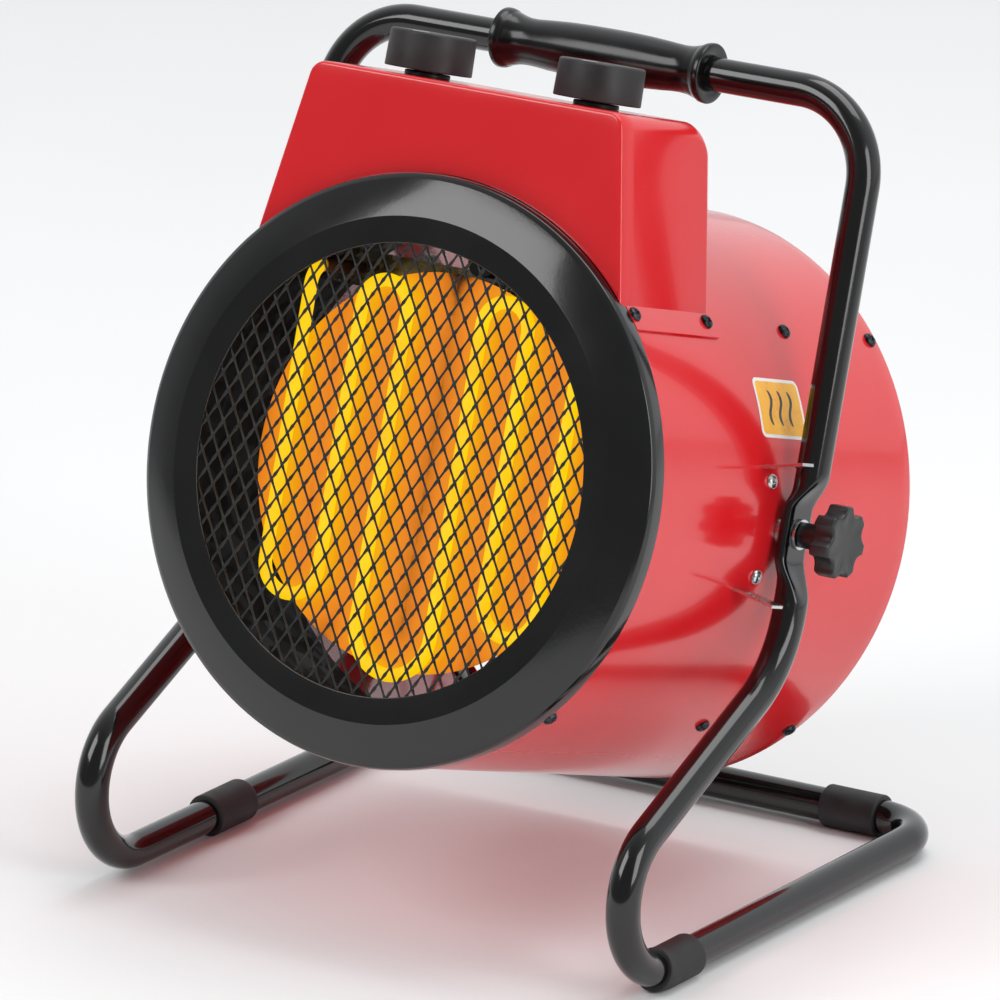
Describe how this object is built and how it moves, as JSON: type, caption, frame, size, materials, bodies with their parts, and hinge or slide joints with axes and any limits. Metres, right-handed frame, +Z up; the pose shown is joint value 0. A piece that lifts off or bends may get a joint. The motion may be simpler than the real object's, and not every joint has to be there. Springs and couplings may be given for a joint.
{
  "type": "space heater",
  "caption": "Drum fan heater that tilts in a bent tube stand, with a mesh front, two control knobs on a top box and a carrying handle.",
  "frame": {"origin": "middle of the object's box, on the floor under the rubber feet", "axes": "+Z up, the front mesh faces -Y, +X is the heater's right seen from behind the front mesh looking along +Y"},
  "size_m": [0.384, 0.3478, 0.4552],
  "materials": {
    "painted_red": "gloss red powder coat",
    "painted_black": "gloss black powder coat",
    "grip_plastic": "gloss black moulding",
    "dial_plastic": "matt black moulding",
    "black_nylon": "satin black nylon",
    "rubber": "matt black rubber",
    "zinc_plate": "bright zinc plate",
    "galvanised": "galvanised sheet",
    "bare_steel": "satin steel",
    "element_glow": "steel sheath, glowing yellow",
    "brass": "turned brass",
    "ivory": "ivory moulding and glazed ceramic",
    "black_screw": "black oxide"
  },
  "bodies": {
    "stand": {"handle_tube": "painted_black", "upright_left": "painted_black", "upright_right": "painted_black", "pivot_flat_left": "painted_black", "pivot_flat_right": "painted_black", "leg_left": "painted_black", "leg_right": "painted_black", "knee_left": "painted_black", "knee_right": "painted_black", "front_bend_left": "painted_black", "front_bend_right": "painted_black", "rail_left": "painted_black", "rail_right": "painted_black", "rear_bar": "painted_black", "hand_grip": "grip_plastic", "foot_front_left": "rubber", "foot_front_right": "rubber", "rear_feet": "rubber"},
    "heater": {"drum_shell": "painted_red", "control_panel": "painted_red", "control_cover": "painted_red", "front_ring": "painted_black", "front_mesh": "painted_black", "rear_guard": "painted_black", "cable_gland": "black_nylon", "gland_nut": "black_nylon", "selector_switch": "black_nylon", "thermal_cutout": "black_nylon", "wire_grommet": "rubber", "pivot_bracket_left": "zinc_plate", "pivot_bracket_right": "zinc_plate", "pivot_bolt_left": "zinc_plate", "pivot_bolt_right": "zinc_plate", "pivot_spacers": "zinc_plate", "bracket_screws": "zinc_plate", "element_bracket": "zinc_plate", "cutout_bracket": "zinc_plate", "motor_bracket": "zinc_plate", "bush_nuts": "zinc_plate", "mesh_retainer": "galvanised", "heat_liner": "galvanised", "reflector_plate": "galvanised", "fan_motor": "bare_steel", "heating_element": "element_glow", "terminal_block": "ivory", "thermostat": "ivory", "element_terminals": "ivory", "drum_screws": "black_screw"},
    "fan": {"fan_blades": "black_nylon", "fan_shaft": "bare_steel"},
    "thermostat_dial": {"thermostat_knob": "dial_plastic", "thermostat_shaft": "bare_steel"},
    "selector_dial": {"selector_knob": "dial_plastic", "selector_shaft": "bare_steel"},
    "washer_left": {"pivot_washer_left": "zinc_plate"},
    "washer_right": {"pivot_washer_right": "zinc_plate"},
    "star_left": {"star_knob_left": "grip_plastic", "knob_insert_left": "brass"},
    "star_right": {"star_knob_right": "grip_plastic", "knob_insert_right": "brass"}
  },
  "joints": [
    {"name": "tilt", "type": "hinge", "parent": "stand", "child": "heater", "pos_m": [0, 0.00455, 0.20949], "axis": [1, 0, 0], "range_deg": [-10, 20]},
    {"name": "fan_spin", "type": "hinge", "parent": "heater", "child": "fan", "pos_m": [0, 0.00455, 0.20949], "axis": [0, 0.9578, -0.2874], "continuous": true},
    {"name": "thermostat_turn", "type": "hinge", "parent": "heater", "child": "thermostat_dial", "pos_m": [-0.052, -0.02103, 0.42701], "axis": [0, -0.2874, -0.9578], "range_deg": [0, 270]},
    {"name": "selector_turn", "type": "hinge", "parent": "heater", "child": "selector_dial", "pos_m": [0.052, -0.02103, 0.42701], "axis": [0, -0.2874, -0.9578], "range_deg": [0, 135]},
    {"name": "washer_left_slide", "type": "slide", "parent": "heater", "child": "washer_left", "axis": [-1, 0, 0], "range_m": [0, 0.0025]},
    {"name": "star_left_turn", "type": "hinge", "parent": "washer_left", "child": "star_left", "pos_m": [-0.17, 0.00455, 0.20949], "axis": [-1, 0, 0], "range_deg": [0, 720]},
    {"name": "washer_right_slide", "type": "slide", "parent": "heater", "child": "washer_right", "axis": [1, 0, 0], "range_m": [0, 0.0025]},
    {"name": "star_right_turn", "type": "hinge", "parent": "washer_right", "child": "star_right", "pos_m": [0.17, 0.00455, 0.20949], "axis": [1, 0, 0], "range_deg": [0, 720]}
  ],
  "couplings": [
    {"joint": "washer_left_slide", "follows": "star_left_turn", "m_per_rad": 0.00019894},
    {"joint": "washer_right_slide", "follows": "star_right_turn", "m_per_rad": 0.00019894}
  ]
}
